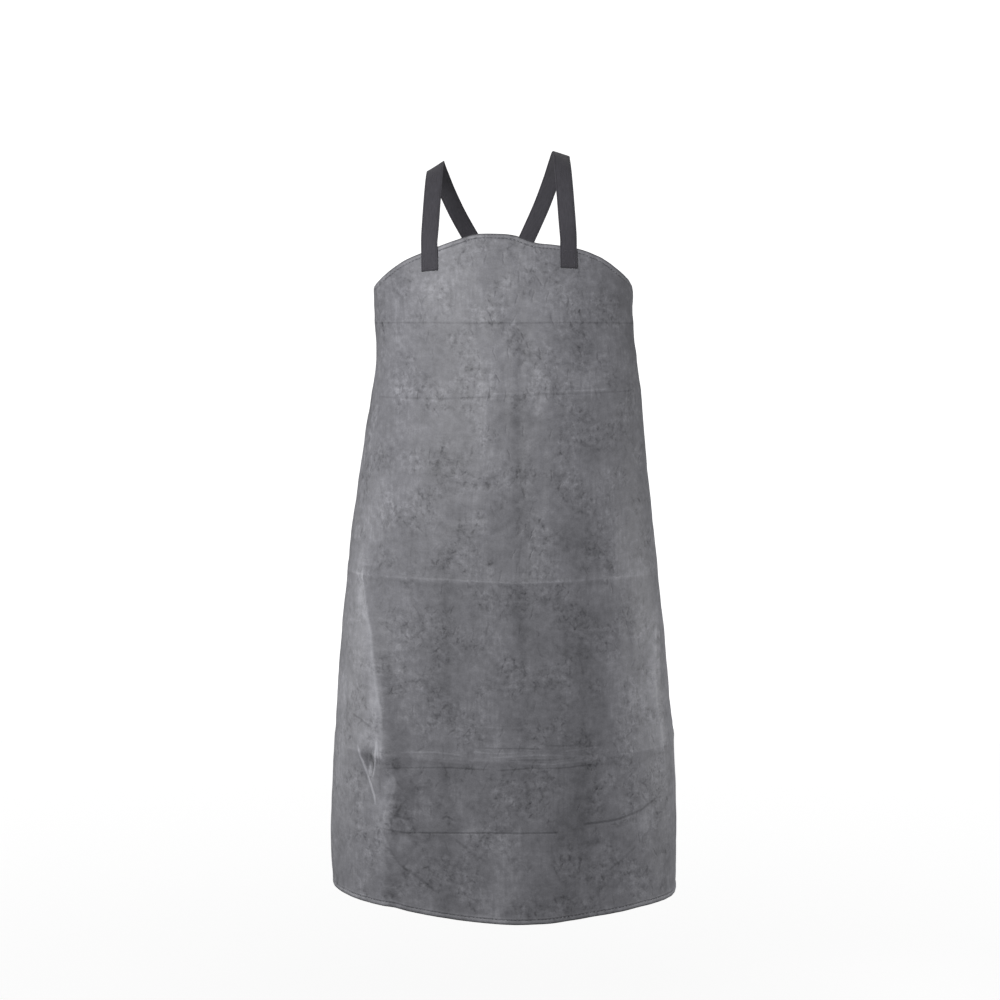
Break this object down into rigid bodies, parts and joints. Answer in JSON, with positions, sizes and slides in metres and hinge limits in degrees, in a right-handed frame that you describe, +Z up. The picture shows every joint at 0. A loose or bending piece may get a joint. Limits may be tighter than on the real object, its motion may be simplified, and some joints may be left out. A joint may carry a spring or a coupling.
{
  "type": "bib work apron",
  "caption": "Heavy coated-cloth bib apron hanging as worn, with turned and stitched edges and webbing shoulder straps that cross behind.",
  "frame": {"origin": "midway between the two places where the straps lie over the shoulders", "axes": "+Z up along the hanging apron, the face of the apron looks along -Y, and +X is to the right as one looks at its face"},
  "size_m": [0.6537, 0.3595, 1.4259],
  "materials": {
    "coated_cloth": "grey rubber-coated cloth, matt, with a chalky mottled surface and packing creases",
    "webbing": "dark grey plain-woven webbing, matt"
  },
  "bodies": {
    "root": {"apron_panel": "coated_cloth", "bib_hem": "coated_cloth", "armhole_hem_left": "coated_cloth", "armhole_hem_right": "coated_cloth", "side_hem_left": "coated_cloth", "side_hem_right": "coated_cloth", "bottom_hem": "coated_cloth", "strap_left": "webbing", "strap_right": "webbing"}
  },
  "joints": []
}
